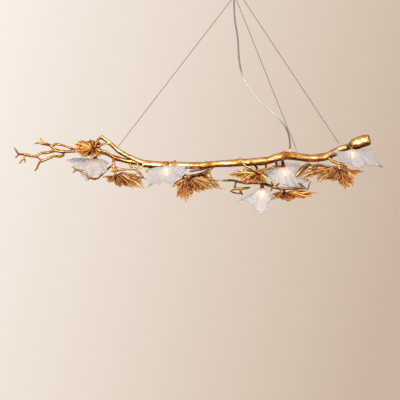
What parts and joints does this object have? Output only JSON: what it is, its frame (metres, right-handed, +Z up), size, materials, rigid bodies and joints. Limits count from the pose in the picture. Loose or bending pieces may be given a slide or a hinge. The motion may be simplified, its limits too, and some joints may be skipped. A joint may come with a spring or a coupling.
{
  "type": "leaf pendant light",
  "caption": "Gilded cast branch with maple leaves and frosted glass leaf shades, hung level on steel cables from a swivelling ceiling canopy to light a table.",
  "frame": {"origin": "centre of the two ceiling screw slots, on the plane of the ceiling", "axes": "+Z up into the ceiling, +X along the branch towards its thick sawn end, -Y towards the viewer of the picture"},
  "size_m": [1.4814, 0.2718, 0.9712],
  "materials": {
    "gilded_branch": "hand-applied gold leaf over a lumpy casting",
    "antique_leaf": "antique gold with brown patina in the folds",
    "frosted_glass": "acid-frosted with clear crinkled rims",
    "bulb_glass": "clear capsule, lit",
    "satin_gold": "satin",
    "steel": "satin",
    "clear_pvc": "clear sleeve over silvery wires",
    "white_ceramic": "unglazed",
    "gasket_rubber": "silicone",
    "white_nylon": "moulded"
  },
  "bodies": {
    "ceiling": {"ceiling_bracket": "steel", "canopy_cover": "satin_gold", "canopy_studs": "steel", "earth_screw": "satin_gold", "terminal_block": "white_nylon"},
    "swivel": {"swivel_stem": "satin_gold", "swivel_washer": "steel", "swivel_nut": "steel", "tilt_pins": "steel"},
    "pendant": {"cable_hub": "satin_gold", "grippers": "steel", "cable_left": "steel", "cable_middle": "steel", "cable_right": "steel", "cable_ferrules": "steel", "power_cord": "clear_pvc", "cord_grip": "clear_pvc", "cord_gland": "steel", "main_branch": "gilded_branch", "butt_end": "gilded_branch", "left_limb": "gilded_branch", "lower_limb": "gilded_branch", "lamp_arms": "gilded_branch", "short_spurs": "gilded_branch", "forked_twig": "gilded_branch", "ladder_twig": "gilded_branch", "leaf_4_twig": "gilded_branch", "leaf_6_twig": "gilded_branch", "long_twig": "gilded_branch", "lower_twig": "gilded_branch", "net_twig": "gilded_branch", "triple_twig": "gilded_branch", "under_twig": "gilded_branch", "upper_twig": "gilded_branch", "leaf_1": "antique_leaf", "leaf_2": "antique_leaf", "leaf_3": "antique_leaf", "leaf_4": "antique_leaf", "leaf_5": "antique_leaf", "leaf_6": "antique_leaf", "glass_shade_1": "frosted_glass", "glass_shade_2": "frosted_glass", "glass_shade_3": "frosted_glass", "glass_shade_4": "frosted_glass", "glass_shade_5": "frosted_glass", "cap_washers": "satin_gold", "glass_gaskets": "gasket_rubber", "holder_shells": "satin_gold", "lamp_holders": "white_ceramic"},
    "nut_left": {"canopy_nut_left": "satin_gold"},
    "nut_right": {"canopy_nut_right": "satin_gold"},
    "release_left": {"release_sleeve_left": "steel"},
    "release_middle": {"release_sleeve_middle": "steel"},
    "release_right": {"release_sleeve_right": "steel"},
    "bulb_1": {"bulb_1": "bulb_glass"},
    "bulb_2": {"bulb_2": "bulb_glass"},
    "bulb_3": {"bulb_3": "bulb_glass"},
    "bulb_4": {"bulb_4": "bulb_glass"},
    "bulb_5": {"bulb_5": "bulb_glass"}
  },
  "joints": [
    {"name": "swivel_turn", "type": "hinge", "parent": "ceiling", "child": "swivel", "pos_m": [0, 0, -0.013], "axis": [0, 0, 1], "range_deg": [-170, 170]},
    {"name": "swivel_tilt", "type": "hinge", "parent": "swivel", "child": "pendant", "pos_m": [0, 0, -0.054], "axis": [1, 0, 0], "range_deg": [-20, 20]},
    {"name": "canopy_nut_left_turn", "type": "hinge", "parent": "ceiling", "child": "nut_left", "pos_m": [-0.024, 0, -0.034], "axis": [0, 0, 1], "continuous": true},
    {"name": "canopy_nut_right_turn", "type": "hinge", "parent": "ceiling", "child": "nut_right", "pos_m": [0.024, 0, -0.034], "axis": [0, 0, 1], "continuous": true},
    {"name": "release_left_press", "type": "slide", "parent": "pendant", "child": "release_left", "axis": [0.6117, -0.0326, 0.7904], "range_m": [0, 0.002], "stiffness_N_per_m": 150, "springref_m": -0.004},
    {"name": "release_middle_press", "type": "slide", "parent": "pendant", "child": "release_middle", "axis": [-0.3725, 0.0048, 0.928], "range_m": [0, 0.002], "stiffness_N_per_m": 150, "springref_m": -0.004},
    {"name": "release_right_press", "type": "slide", "parent": "pendant", "child": "release_right", "axis": [-0.5537, -0.0195, 0.8325], "range_m": [0, 0.002], "stiffness_N_per_m": 150, "springref_m": -0.004},
    {"name": "bulb_1_pull", "type": "slide", "parent": "pendant", "child": "bulb_1", "axis": [-0.0804, 0.2512, -0.9646], "range_m": [0, 0.012]},
    {"name": "bulb_2_pull", "type": "slide", "parent": "pendant", "child": "bulb_2", "axis": [0.0503, -0.2517, -0.9665], "range_m": [0, 0.012]},
    {"name": "bulb_3_pull", "type": "slide", "parent": "pendant", "child": "bulb_3", "axis": [0, 0.1203, -0.9927], "range_m": [0, 0.012]},
    {"name": "bulb_4_pull", "type": "slide", "parent": "pendant", "child": "bulb_4", "axis": [0.1203, 0.2005, -0.9723], "range_m": [0, 0.012]},
    {"name": "bulb_5_pull", "type": "slide", "parent": "pendant", "child": "bulb_5", "axis": [0.1203, -0.2005, -0.9723], "range_m": [0, 0.012]}
  ]
}
